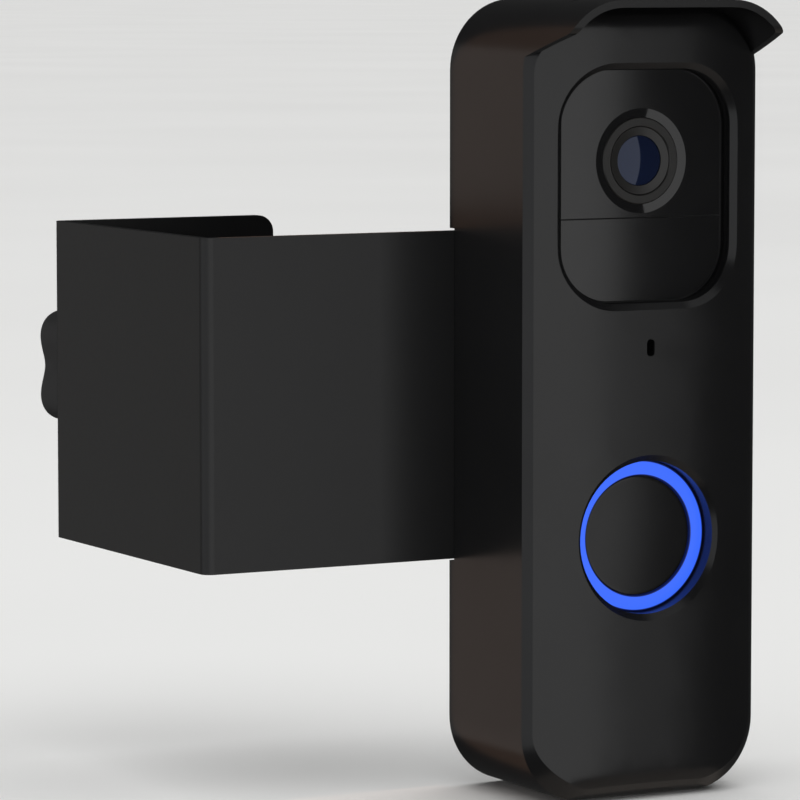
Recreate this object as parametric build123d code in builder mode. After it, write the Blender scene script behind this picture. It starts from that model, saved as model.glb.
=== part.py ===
"""Video doorbell in a hooded case, on a bracket that clamps round the edge of a door.

Millimetres. +Z is up, +X is to the right seen from the front and the front faces -Y. The origin is on the
door's outer surface, behind the middle of the case. A "depth" is a distance in front of that surface.
"""

import os
from math import cos, radians, sin, tau

from build123d import *

os.makedirs("parts", exist_ok=True)

# ---------------------------------------------------------------- driving dimensions
# Case
CASE_WIDTH = 45.0
CASE_HEIGHT = 133.4
CASE_CORNER = 12.0
CASE_WALL = 1.3
RIM_DEPTH = 24.66  # outer edge of the bevel round the front
BEVEL = 1.35
FACE_CROWN = 2.3  # how far the middle of the face stands in front of the bevel
FACE_SIDE_POWER = 4
FACE_END_POWER = 40  # high, so that the face stays flat until just before its top and bottom
FRONT_WALL_DEPTH = 23.9  # inner side of the case's front wall
HOOD_REACH = 12.04
HOOD_WALL = 1.25
HOOD_ROOT_Z = 57.4
HOOD_TIP_Z = 61.4
HOOD_TIP_RADIUS = 1.5

# Openings in the case's face
WINDOW_WIDTH, WINDOW_HEIGHT, WINDOW_CORNER = 32.7, 38.8, 9.6
WINDOW_Z = 35.85
WINDOW_CHAMFER = 1.04
BUTTON_Z = -22.7
BUTTON_HOLE_RADIUS = 12.85
BUTTON_FLARE_DEPTH = 27.25  # where the hole starts to widen towards the face
BUTTON_FLARE_ANGLE = 45.0
SLOT_Z = 9.1
SLOT_WIDTH, SLOT_HEIGHT = 1.5, 2.9
SLOT_COLLAR = (2.7, 1.8)  # outer and inner radius of the collar behind the slot
SOUND_SLOTS, SOUND_SLOT_PITCH, SOUND_SLOT_WIDTH, SOUND_SLOT_LENGTH = 5, 2.4, 1.2, 8.0

# Door and bracket
DOOR_THICKNESS = 39.6
DOOR_EDGE_X = -66.7
STEEL = 1.5
BRACKET_HEIGHT = 55.6
BRACKET_LEFT_X = -69.35
BRACKET_BACK_Y = 58.7
BRACKET_CORNER = 3.0
FLANGE_END_X = 17.0
REAR_FLANGE_END_X = -27.0
BEND_RADIUS = 1.8
BRACKET_SCREW_SPACING = (24.0, 40.0)
BRACKET_SCREW_RADIUS = 1.5

EDGE_PAD_WIDTH, EDGE_PAD_HEIGHT, EDGE_PAD_CORNER = 44.0, 49.6, 3.0

# Clamp
CLAMP_X = -50.0
CLAMP_THREAD_RADIUS = 3.0
FOOT_RADIUS = 11.0
PAD_THICKNESS = 2.0
FOOT_THICKNESS = 3.0
SPIGOT_RADIUS = 2.4
SPIGOT_GROOVE = 0.4
CLIP_Y = 42.3
CLIP_RADIUS, CLIP_THICKNESS, CLIP_MOUTH = 4.0, 0.6, 2.6
NUT_FLAT = 5.0
NUT_THICKNESS = 4.0
KNOB_Y = 76.0
KNOB_THICKNESS = 11.0
BOLT_HEAD_Y = 81.0
BOLT_HEAD_FLAT = 5.0
BOLT_HEAD_THICKNESS = 4.0
KNOB_RADIUS, KNOB_LOBES, LOBE_RISE = 10.8, 4, 1.6
KNOB_FILLET = 2.0
KNOB_CAP_RADIUS = 6.2
KNOB_CAP_RISE = 0.6

# Doorbell
UNIT_WIDTH, UNIT_HEIGHT, UNIT_CORNER = 42.0, 130.0, 10.5
UNIT_WALL = 1.6
PLATE_THICKNESS = 1.5
MOUNT_DEPTH = 3.0
REAR_SHELL_DEPTH = 4.7
JOINT_DEPTH = 13.0
GASKET_THICKNESS = 0.4
UNIT_FRONT_DEPTH = 23.8
FRONT_INNER_DEPTH = 22.3
PLATFORM_DEPTH = 24.2
PANEL_WIDTH, PANEL_HEIGHT, PANEL_CORNER = 30.7, 38.2, 9.0
PANEL_THICKNESS = 0.7
PANEL_Z = 35.95
PANEL_SPLIT_Z = 30.55
PANEL_GAP = 0.24
LENS_Z = 40.0
BOARD_DEPTH = 20.2
BOARD_THICKNESS = 1.0
BOARD_FRONT = BOARD_DEPTH + BOARD_THICKNESS

# Battery
CELL_RADIUS = 7.25
CELL_LENGTH = 50.5
CELL_NUB_RADIUS, CELL_NUB_LENGTH = 2.75, 1.3
CELL_EDGE = 0.6
CELL_X = 7.75
CELL_DEPTH = 12.2
CELL_Z = -2.0
TRAY_WIDTH, TRAY_HEIGHT = 33.6, 58.6
TRAY_WALL = 0.8
CONTACT_PLATE, CONTACT_SHEET, CONTACT_DIMPLE_RADIUS = (10.0, 11.0, 1.0), 0.4, 2.6
SPRING_SHEET, SPRING_REACH, SPRING_WIDTH = 0.35, 5.0, 8.0

# Button
RING_OUTER, RING_INNER, RING_FLANGE = 12.7, 10.15, 13.7
RING_FACE_DEPTH = 24.54
CAP_RADIUS, CAP_FLANGE_RADIUS = 10.0, 10.6
RING_EDGE = 0.15
CAP_CROWN = 0.3
CAP_FLANGE_THICKNESS = 0.7
CAP_BACK_DEPTH = 22.45
RING_BACK_DEPTH, RING_FLANGE_THICKNESS = 21.8, 0.45
RING_LED_REACH, RING_LED_COUNT = 12.0, 8
RING_LED_SIZE, RING_LED_HEIGHT = (1.0, 1.6), 0.5
BUTTON_TRAVEL = 0.5
PLUNGER_RADIUS = 1.5
SWITCH_WIDTH, SWITCH_HEIGHT = 6.0, 0.7
SYNC_Z = -37.0
SYNC_RADIUS, SYNC_LENGTH, SYNC_COLLAR = 1.7, 3.0, 0.8
SYNC_SWITCH_HEIGHT = 1.5
SYNC_TRAVEL = 0.5

# Lens, window and microphone
BEZEL_RADIUS = 7.2
BEZEL_DEPTH = 24.72
LENS_HOLE_RADIUS = 8.2
DISH_DEEP = 0.35
DISH_ANGLE = 76.5
SENSOR_WINDOW = (24.0, 7.0, 1.0)
SENSOR_Z = 22.5
FLEX_WIDTH, FLEX_THICKNESS = 8.0, 0.2
FLEX_START_Z, FLEX_END_Z = 31.6, 25.7
CAMERA_BOARD_DEPTH, CAMERA_BOARD_THICKNESS = 13.0, 1.0
BARREL_RADIUS, BARREL_BORE = 5.5, 3.4
MESH_RADIUS, MESH_THICKNESS = 1.4, 0.3
INFRARED_X = 8.5

# Speaker
SPEAKER_RADIUS = 7.4
SPEAKER_DEPTH = 14.4
SPEAKER_SEAL = 0.8
SPEAKER_BASKET, SPEAKER_MAGNET = 1.6, 2.4

# Smaller details of the case
FRONT_POCKETS = ((4.0, 16.0), (-51.0, 20.0))
FRONT_POCKET_DEEP = 1.4
BACK_POCKET = (28.0, 20.0, 2.0)
BACK_POCKET_Z = 46.0
BACK_POCKET_DEEP = 1.6

# Hooks that hang the doorbell on its mounting plate
HOOK_Z = 60.0
HOOK_WIDTH, HOOK_THICKNESS, HOOK_REACH = 8.0, 1.2, 2.6

# Wire terminals
TERMINAL_Z = -50.0
TERMINALS = [(-5.5, TERMINAL_Z), (5.5, TERMINAL_Z)]
TERMINAL_HEAD_RADIUS, TERMINAL_SCREW_RADIUS = 2.6, 1.5
TERMINAL_BLOCK_HEIGHT, TERMINAL_SCREW_LENGTH = 6.0, 4.5
WIRE_OPENING = (14.0, 8.0, 2.0)
WIRE_OPENING_Z = -48.0

# Fasteners
SHELL_SCREW_X, SHELL_SCREW_Z = 16.3, 55.5
SHELL_SCREW_RADIUS, SHELL_SCREW_LENGTH = 1.0, 15.0
SHELL_HEAD_RADIUS, SHELL_HEAD_THICKNESS = 1.9, 1.1
COUNTERSINK_RADIUS = 2.75
COVER_SCREW_X, COVER_SCREW_DEPTH = 11.0, 1.85
COVER_SCREW_RADIUS, COVER_SCREW_LENGTH = 1.0, 8.0
COVER_HEAD_RADIUS, COVER_HEAD_THICKNESS = 1.6, 0.6
COVER_SOCKET_RADIUS = 0.75
BOSS_RADIUS = 2.6
BRACKET_SOCKET_RADIUS, BRACKET_SOCKET_DEPTH = 1.1, 1.1

# Fits
FIT = 0.1  # between pieces that slide together or turn in one another
TIGHT_FIT = 0.05
GROUND = 0.3  # by which hidden pieces stay clear of the door's surface

pieces = {}


# ---------------------------------------------------------------- helpers
def front(depth):
    """Plane facing the front at a depth, drawn in X and Z, along which an extrusion grows forwards."""
    return Plane.XZ.offset(depth)


def behind(y):
    """Plane facing the back at a height y behind the door's outer surface, drawn in X and Z."""
    return Plane.XZ.offset(-y)


def slab(depth, thickness, width, height, corner=0.0, centres=((0, 0),), mode=Mode.ADD):
    """Rectangular plate, or a cut of that shape, in the part being built."""
    with BuildSketch(front(depth)) as outline:
        with Locations(*centres):
            if corner:
                RectangleRounded(width, height, corner)
            else:
                Rectangle(width, height)
    extrude(outline.sketch, amount=thickness, mode=mode)


def disc(depth, thickness, radius, centres=((0, 0),), mode=Mode.ADD):
    """Round plate, or a round cut, in the part being built."""
    with BuildSketch(front(depth)) as outline:
        with Locations(*centres):
            Circle(radius)
    extrude(outline.sketch, amount=thickness, mode=mode)


def tube(depth, thickness, outer, inner, centres=((0, 0),)):
    """Round tube along the front-to-back direction in the part being built."""
    with BuildSketch(front(depth)) as outline:
        with Locations(*centres):
            Circle(outer)
            Circle(inner, mode=Mode.SUBTRACT)
    extrude(outline.sketch, amount=thickness)


def dome_radius(radius, rise):
    """Radius of the sphere whose cap has that rim radius and that height."""
    return (radius**2 + rise**2) / (2 * rise)


def corners(x, z):
    """The four points at plus and minus x and z."""
    return [(sx * x, sz * z) for sx in (-1, 1) for sz in (-1, 1)]


def keep(builder, name):
    """Labels a finished piece and writes it out."""
    builder.part.label = name
    export_step(builder.part, f"parts/{name}.step")
    pieces[name] = builder.part


BRACKET_SCREWS = corners(BRACKET_SCREW_SPACING[0] / 2, BRACKET_SCREW_SPACING[1] / 2)
SHELL_SCREWS = corners(SHELL_SCREW_X, SHELL_SCREW_Z)


# ---------------------------------------------------------------- case
def face_depth(x, z):
    """Depth of the crowned face: flat-topped in the middle, falling to the bevel at its four sides."""
    half_width, half_height = CASE_WIDTH / 2 - BEVEL, CASE_HEIGHT / 2 - BEVEL
    across = 1 - abs(x / half_width) ** FACE_SIDE_POWER
    along = 1 - abs(z / half_height) ** FACE_END_POWER
    return RIM_DEPTH + BEVEL + FACE_CROWN * across * along


def crowned_face():
    """Spline surface through a grid of points on the face, a little larger than the case's outline."""
    columns, rows = 19, 61
    reach_x, reach_z = CASE_WIDTH / 2 + 0.3, CASE_HEIGHT / 2 + 0.3
    grid = []
    for i in range(columns):
        x = reach_x * sin(radians(90) * (2 * i / (columns - 1) - 1))
        heights = [reach_z * sin(radians(90) * (2 * j / (rows - 1) - 1)) for j in range(rows)]
        grid.append([Vector(x, -face_depth(x, z), z) for z in heights])
    return Face.make_surface_from_array_of_points(grid, tol=0.005, min_deg=3, max_deg=5)


with BuildPart() as hood:
    slab(RIM_DEPTH, HOOD_REACH, CASE_WIDTH, CASE_HEIGHT, CASE_CORNER)
    slab(
        RIM_DEPTH,
        HOOD_REACH,
        CASE_WIDTH - 2 * HOOD_WALL,
        CASE_HEIGHT - 2 * HOOD_WALL,
        CASE_CORNER - HOOD_WALL,
        mode=Mode.SUBTRACT,
    )
    with BuildSketch(Plane.YZ):
        with BuildLine():
            tip_y = -RIM_DEPTH - HOOD_REACH
            root = (-RIM_DEPTH, HOOD_ROOT_Z)
            tip = (tip_y, HOOD_TIP_Z)
            FilletPolyline(root, tip, (tip_y, CASE_HEIGHT / 2 + 1), radius=HOOD_TIP_RADIUS)
            Polyline((tip_y, CASE_HEIGHT / 2 + 1), (-RIM_DEPTH, CASE_HEIGHT / 2 + 1), root)
        make_face()
    extrude(amount=CASE_WIDTH, both=True, mode=Mode.INTERSECT)

with BuildPart() as case_cover:
    slab(0, RIM_DEPTH, CASE_WIDTH, CASE_HEIGHT, CASE_CORNER)
    with BuildSketch(front(RIM_DEPTH)):
        RectangleRounded(CASE_WIDTH, CASE_HEIGHT, CASE_CORNER)
    extrude(amount=BEVEL + FACE_CROWN + 1, taper=45)
    split(bisect_by=crowned_face(), keep=Keep.BOTTOM)
    slab(
        0,
        FRONT_WALL_DEPTH,
        CASE_WIDTH - 2 * CASE_WALL,
        CASE_HEIGHT - 2 * CASE_WALL,
        CASE_CORNER - CASE_WALL,
        mode=Mode.SUBTRACT,
    )
    through = FACE_CROWN + 4
    slab(
        FRONT_WALL_DEPTH,
        through,
        WINDOW_WIDTH,
        WINDOW_HEIGHT,
        WINDOW_CORNER,
        [(0, WINDOW_Z)],
        Mode.SUBTRACT,
    )
    disc(FRONT_WALL_DEPTH, through, BUTTON_HOLE_RADIUS, [(0, BUTTON_Z)], Mode.SUBTRACT)
    slab(
        FRONT_WALL_DEPTH,
        through,
        SLOT_WIDTH,
        SLOT_HEIGHT,
        SLOT_WIDTH / 2 - 0.01,
        [(0, SLOT_Z)],
        Mode.SUBTRACT,
    )
    crown = case_cover.faces().sort_by(Axis.Y)[0]
    window_rim = crown.inner_wires().sort_by(SortBy.LENGTH)[-1]
    chamfer(window_rim.edges(), WINDOW_CHAMFER)
    with BuildSketch(front(BUTTON_FLARE_DEPTH)):
        with Locations((0, BUTTON_Z)):
            Circle(BUTTON_HOLE_RADIUS)
    extrude(amount=through, taper=-BUTTON_FLARE_ANGLE, mode=Mode.SUBTRACT)
    for pocket_z, pocket_height in FRONT_POCKETS:
        slab(
            FRONT_WALL_DEPTH,
            FRONT_POCKET_DEEP,
            CASE_WIDTH - 6 * CASE_WALL,
            pocket_height,
            3,
            [(0, pocket_z)],
            Mode.SUBTRACT,
        )
    tube(FRONT_WALL_DEPTH, FRONT_POCKET_DEEP, *SLOT_COLLAR, [(0, SLOT_Z)])
    # the bracket's flange comes in through a notch in the left wall
    with Locations((-CASE_WIDTH / 2, -(STEEL + FIT) / 2, 0)):
        Box(4 * CASE_WALL, STEEL + FIT, BRACKET_HEIGHT + 8 * FIT, mode=Mode.SUBTRACT)
    for x in (-COVER_SCREW_X, COVER_SCREW_X):
        with Locations(Plane((x, -COVER_SCREW_DEPTH, -CASE_HEIGHT / 2), z_dir=(0, 0, -1))):
            CounterBoreHole(
                COVER_SCREW_RADIUS + FIT, COVER_HEAD_RADIUS + FIT, COVER_HEAD_THICKNESS, 3 * CASE_WALL
            )
    with Locations((0, -SPEAKER_DEPTH, -CASE_HEIGHT / 2)):
        with GridLocations(SOUND_SLOT_PITCH, 0, SOUND_SLOTS, 1):
            Box(SOUND_SLOT_WIDTH, SOUND_SLOT_LENGTH, 4 * CASE_WALL, mode=Mode.SUBTRACT)
    add(hood.part)
keep(case_cover, "case_cover")

with BuildPart() as case_back_plate:
    slab(GROUND, MOUNT_DEPTH - GROUND, UNIT_WIDTH + 2 * FIT, UNIT_HEIGHT + 6 * FIT, UNIT_CORNER + FIT)
    slab(0, STEEL, CASE_WIDTH, BRACKET_HEIGHT + 4 * FIT, mode=Mode.SUBTRACT)
    for z in (-BACK_POCKET_Z, BACK_POCKET_Z):
        slab(0, BACK_POCKET_DEEP, *BACK_POCKET, [(0, z)], Mode.SUBTRACT)
    slab(0, MOUNT_DEPTH, *WIRE_OPENING, [(0, WIRE_OPENING_Z)], Mode.SUBTRACT)
    disc(0, MOUNT_DEPTH, BRACKET_SCREW_RADIUS + FIT, BRACKET_SCREWS, Mode.SUBTRACT)
    for x in (-COVER_SCREW_X, COVER_SCREW_X):
        with Locations(Plane((x, -COVER_SCREW_DEPTH, -UNIT_HEIGHT / 2), z_dir=(0, 0, -1))):
            Cylinder(COVER_SCREW_RADIUS, 2 * COVER_SCREW_LENGTH, mode=Mode.SUBTRACT)
keep(case_back_plate, "case_back_plate")

with BuildPart() as cover_screws:
    for x in (-COVER_SCREW_X, COVER_SCREW_X):
        with BuildSketch(Plane((x, -COVER_SCREW_DEPTH, -CASE_HEIGHT / 2))) as head:
            Circle(COVER_HEAD_RADIUS)
            RegularPolygon(COVER_SOCKET_RADIUS, 6, mode=Mode.SUBTRACT)
        extrude(head.sketch, amount=COVER_HEAD_THICKNESS)
        with BuildSketch(Plane((x, -COVER_SCREW_DEPTH, -CASE_HEIGHT / 2 + COVER_HEAD_THICKNESS))) as shank:
            Circle(COVER_SCREW_RADIUS)
        extrude(shank.sketch, amount=COVER_SCREW_LENGTH)
keep(cover_screws, "cover_screws")


# ---------------------------------------------------------------- bracket and clamp
with BuildPart() as door_bracket:
    with BuildSketch(Plane.XY.offset(-BRACKET_HEIGHT / 2)) as section:
        with BuildLine():
            inner_x, inner_back_y = BRACKET_LEFT_X + STEEL, BRACKET_BACK_Y - STEEL
            Polyline(
                (FLANGE_END_X, 0),
                (FLANGE_END_X, -STEEL),
                (BRACKET_LEFT_X, -STEEL),
                (BRACKET_LEFT_X, BRACKET_BACK_Y),
                (REAR_FLANGE_END_X, BRACKET_BACK_Y),
                (REAR_FLANGE_END_X, inner_back_y),
                (inner_x, inner_back_y),
                (inner_x, 0),
                close=True,
            )
        make_face()
        by_x = section.vertices().group_by(Axis.X)
        fillet(by_x[0], BEND_RADIUS)
        inner_bends = section.vertices().filter_by_position(Axis.X, inner_x - 0.1, inner_x + 0.1)
        fillet(inner_bends, BEND_RADIUS - STEEL)
    extrude(amount=BRACKET_HEIGHT)
    ends = door_bracket.edges().filter_by(Axis.Y).filter_by(lambda edge: edge.length < 2 * STEEL)
    fillet(ends, BRACKET_CORNER)
    disc(0, STEEL, BRACKET_SCREW_RADIUS, BRACKET_SCREWS, Mode.SUBTRACT)
    with BuildSketch(behind(BRACKET_BACK_Y)):
        with Locations((CLAMP_X, 0)):
            Circle(CLAMP_THREAD_RADIUS + 3 * FIT)
    extrude(amount=STEEL, mode=Mode.SUBTRACT)
keep(door_bracket, "door_bracket")

with BuildPart() as edge_pad:
    with BuildSketch(Plane((inner_x, inner_back_y / 2, 0), x_dir=(0, 1, 0), z_dir=(1, 0, 0))):
        RectangleRounded(EDGE_PAD_WIDTH, EDGE_PAD_HEIGHT, EDGE_PAD_CORNER)
    extrude(amount=DOOR_EDGE_X - inner_x)
keep(edge_pad, "edge_pad")



def countersunk(end_depth, mode=Mode.ADD):
    """The four countersunk shapes of the bracket screws, from the mounting plate's face to a depth."""
    head_depth = MOUNT_DEPTH + PLATE_THICKNESS + FIT
    for x, z in BRACKET_SCREWS:
        with BuildSketch(Plane.YZ.offset(x)) as half:
            with BuildLine():
                Polyline(
                    (-head_depth, z),
                    (-head_depth, z + COUNTERSINK_RADIUS),
                    (-MOUNT_DEPTH - 3 * FIT, z + BRACKET_SCREW_RADIUS),
                    (-end_depth, z + BRACKET_SCREW_RADIUS),
                    (-end_depth, z),
                    close=True,
                )
            make_face()
        revolve(half.sketch, axis=Axis((x, 0, z), (0, 1, 0)), mode=mode)


with BuildPart() as bracket_screws:
    countersunk(GROUND / 2)
    with BuildSketch(front(MOUNT_DEPTH + PLATE_THICKNESS - BRACKET_SOCKET_DEPTH)) as sockets:
        with Locations(*BRACKET_SCREWS):
            RegularPolygon(BRACKET_SOCKET_RADIUS, 6)
    extrude(sockets.sketch, amount=2 * BRACKET_SOCKET_DEPTH, mode=Mode.SUBTRACT)
keep(bracket_screws, "bracket_screws")

with BuildPart() as clamp_nut:
    with BuildSketch(behind(BRACKET_BACK_Y)):
        with Locations((CLAMP_X, 0)):
            RegularPolygon(NUT_FLAT, 6, major_radius=False)
            Circle(CLAMP_THREAD_RADIUS, mode=Mode.SUBTRACT)
    extrude(amount=-NUT_THICKNESS)
    chamfer(clamp_nut.faces().sort_by(Axis.Y)[-1].outer_wire().edges(), NUT_FLAT / 10)
keep(clamp_nut, "clamp_nut")

with BuildPart() as pressure_pad:
    with BuildSketch(behind(DOOR_THICKNESS)):
        with Locations((CLAMP_X, 0)):
            Circle(FOOT_RADIUS)
    extrude(amount=-PAD_THICKNESS)
keep(pressure_pad, "pressure_pad")

FOOT_Y = DOOR_THICKNESS + PAD_THICKNESS
SHOULDER_Y = FOOT_Y + FOOT_THICKNESS + TIGHT_FIT
with BuildPart() as pressure_foot:
    with BuildSketch(behind(FOOT_Y)):
        with Locations((CLAMP_X, 0)):
            Circle(FOOT_RADIUS)
            Circle(SPIGOT_RADIUS + FIT, mode=Mode.SUBTRACT)
    extrude(amount=-FOOT_THICKNESS)
    with BuildSketch(behind(FOOT_Y)):
        with Locations((CLAMP_X, 0)):
            Circle(CLIP_RADIUS + 1)
    extrude(amount=-(CLIP_Y + CLIP_THICKNESS + FIT - FOOT_Y), mode=Mode.SUBTRACT)
    back_rims = pressure_foot.edges().filter_by(GeomType.CIRCLE).sort_by(Axis.Y)[-2:]
    fillet(back_rims.sort_by(SortBy.RADIUS)[-1], 1)
keep(pressure_foot, "pressure_foot")

with BuildPart() as foot_clip:
    with BuildSketch(behind(CLIP_Y)):
        with Locations((CLAMP_X, 0)):
            Circle(CLIP_RADIUS)
            Circle(SPIGOT_RADIUS - SPIGOT_GROOVE, mode=Mode.SUBTRACT)
        with Locations((CLAMP_X, -CLIP_RADIUS)):
            Rectangle(CLIP_MOUTH, 2 * CLIP_RADIUS, mode=Mode.SUBTRACT)
    extrude(amount=-CLIP_THICKNESS)
keep(foot_clip, "foot_clip")

with BuildPart() as clamp_screw:
    with BuildSketch(Plane.XY) as profile:
        with BuildLine():
            groove_radius = SPIGOT_RADIUS - SPIGOT_GROOVE
            shank_radius = CLAMP_THREAD_RADIUS - TIGHT_FIT
            Polyline(
                (CLAMP_X, FOOT_Y + 3 * FIT),
                (CLAMP_X + SPIGOT_RADIUS - FIT, FOOT_Y + 3 * FIT),
                (CLAMP_X + SPIGOT_RADIUS, FOOT_Y + 4 * FIT),
                (CLAMP_X + SPIGOT_RADIUS, CLIP_Y),
                (CLAMP_X + groove_radius, CLIP_Y),
                (CLAMP_X + groove_radius, CLIP_Y + CLIP_THICKNESS),
                (CLAMP_X + SPIGOT_RADIUS, CLIP_Y + CLIP_THICKNESS),
                (CLAMP_X + SPIGOT_RADIUS, SHOULDER_Y),
                (CLAMP_X + shank_radius, SHOULDER_Y),
                (CLAMP_X + shank_radius, BOLT_HEAD_Y),
                (CLAMP_X, BOLT_HEAD_Y),
                close=True,
            )
        make_face()
    revolve(axis=Axis((CLAMP_X, 0, 0), (0, 1, 0)))
    with BuildSketch(behind(BOLT_HEAD_Y)):
        with Locations((CLAMP_X, 0)):
            RegularPolygon(BOLT_HEAD_FLAT, 6, major_radius=False)
    extrude(amount=-BOLT_HEAD_THICKNESS)
keep(clamp_screw, "clamp_screw")


def knob_outline():
    """Points of the knob's wavy outline, whose lobes stand at 45 degrees."""
    points = []
    count = 8 * KNOB_LOBES
    for i in range(count):
        angle = tau * i / count
        radius = KNOB_RADIUS - LOBE_RISE * cos(KNOB_LOBES * angle)
        points.append((CLAMP_X + radius * cos(angle), radius * sin(angle)))
    return points


with BuildPart() as clamp_knob:
    with BuildSketch(behind(KNOB_Y)):
        with BuildLine():
            Spline(*knob_outline(), periodic=True)
        make_face()
    extrude(amount=-KNOB_THICKNESS)
    fillet(clamp_knob.faces().filter_by(Axis.Y).edges(), KNOB_FILLET)
    with BuildSketch(behind(KNOB_Y)):
        with Locations((CLAMP_X, 0)):
            Circle(CLAMP_THREAD_RADIUS - TIGHT_FIT)
    extrude(amount=-KNOB_THICKNESS, mode=Mode.SUBTRACT)
    with BuildSketch(behind(BOLT_HEAD_Y)):
        with Locations((CLAMP_X, 0)):
            RegularPolygon(BOLT_HEAD_FLAT, 6, major_radius=False)
    extrude(amount=-KNOB_THICKNESS, mode=Mode.SUBTRACT)
    with BuildSketch(behind(BOLT_HEAD_Y + BOLT_HEAD_THICKNESS)):
        with Locations((CLAMP_X, 0)):
            Circle(KNOB_CAP_RADIUS)
    extrude(amount=-KNOB_THICKNESS, mode=Mode.SUBTRACT)
keep(clamp_knob, "clamp_knob")

with BuildPart() as knob_cap:
    with BuildSketch(behind(BOLT_HEAD_Y + BOLT_HEAD_THICKNESS)):
        with Locations((CLAMP_X, 0)):
            Circle(KNOB_CAP_RADIUS)
    extrude(amount=-(KNOB_Y + KNOB_THICKNESS - BOLT_HEAD_Y - BOLT_HEAD_THICKNESS + KNOB_CAP_RISE))
    fillet(knob_cap.faces().sort_by(Axis.Y)[-1].edges(), KNOB_CAP_RISE)
keep(knob_cap, "knob_cap")


# ---------------------------------------------------------------- doorbell: mounting plate and shells
with BuildPart() as mounting_plate:
    slab(MOUNT_DEPTH, PLATE_THICKNESS, UNIT_WIDTH - 1.6, UNIT_HEIGHT - 1.6, UNIT_CORNER - 0.8)
    slab(MOUNT_DEPTH, PLATE_THICKNESS, *WIRE_OPENING, [(0, WIRE_OPENING_Z)], Mode.SUBTRACT)
    countersunk(MOUNT_DEPTH, Mode.SUBTRACT)
    hooks = [(0, HOOK_Z), (0, -HOOK_Z)]
    slab(MOUNT_DEPTH + PLATE_THICKNESS, HOOK_REACH, HOOK_WIDTH, HOOK_THICKNESS, centres=hooks)
keep(mounting_plate, "mounting_plate")

with BuildPart() as rear_housing:
    slab(REAR_SHELL_DEPTH, JOINT_DEPTH - REAR_SHELL_DEPTH, UNIT_WIDTH, UNIT_HEIGHT, UNIT_CORNER)
    slab(
        REAR_SHELL_DEPTH + PLATE_THICKNESS,
        JOINT_DEPTH,
        UNIT_WIDTH - 2 * UNIT_WALL,
        UNIT_HEIGHT - 2 * UNIT_WALL,
        UNIT_CORNER - UNIT_WALL,
        mode=Mode.SUBTRACT,
    )
    hole_radius = SHELL_SCREW_RADIUS + FIT + TIGHT_FIT
    tube(REAR_SHELL_DEPTH, JOINT_DEPTH - REAR_SHELL_DEPTH, BOSS_RADIUS, hole_radius, SHELL_SCREWS)
    disc(REAR_SHELL_DEPTH, UNIT_WALL, hole_radius, SHELL_SCREWS, Mode.SUBTRACT)
    disc(REAR_SHELL_DEPTH, SHELL_HEAD_THICKNESS, SHELL_HEAD_RADIUS + TIGHT_FIT, SHELL_SCREWS, Mode.SUBTRACT)
    tray_opening = (TRAY_WIDTH + 2 * FIT, TRAY_HEIGHT + 2 * FIT)
    slab(REAR_SHELL_DEPTH, UNIT_WALL, *tray_opening, centres=[(0, CELL_Z)], mode=Mode.SUBTRACT)
    hook_opening = (HOOK_WIDTH + 6 * FIT, HOOK_THICKNESS + 6 * FIT)
    slab(REAR_SHELL_DEPTH, UNIT_WALL, *hook_opening, centres=hooks, mode=Mode.SUBTRACT)
    disc(REAR_SHELL_DEPTH, UNIT_WALL, SYNC_RADIUS + FIT + TIGHT_FIT, [(0, SYNC_Z)], Mode.SUBTRACT)
    disc(REAR_SHELL_DEPTH, UNIT_WALL, TERMINAL_HEAD_RADIUS + 3 * FIT, TERMINALS, Mode.SUBTRACT)
keep(rear_housing, "rear_housing")

with BuildPart() as housing_gasket:
    slab(JOINT_DEPTH, GASKET_THICKNESS, UNIT_WIDTH - 0.6, UNIT_HEIGHT - 0.6, UNIT_CORNER - 0.3)
    slab(
        JOINT_DEPTH,
        GASKET_THICKNESS,
        UNIT_WIDTH - 2.8,
        UNIT_HEIGHT - 2.8,
        UNIT_CORNER - 1.4,
        mode=Mode.SUBTRACT,
    )
keep(housing_gasket, "housing_gasket")

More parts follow.
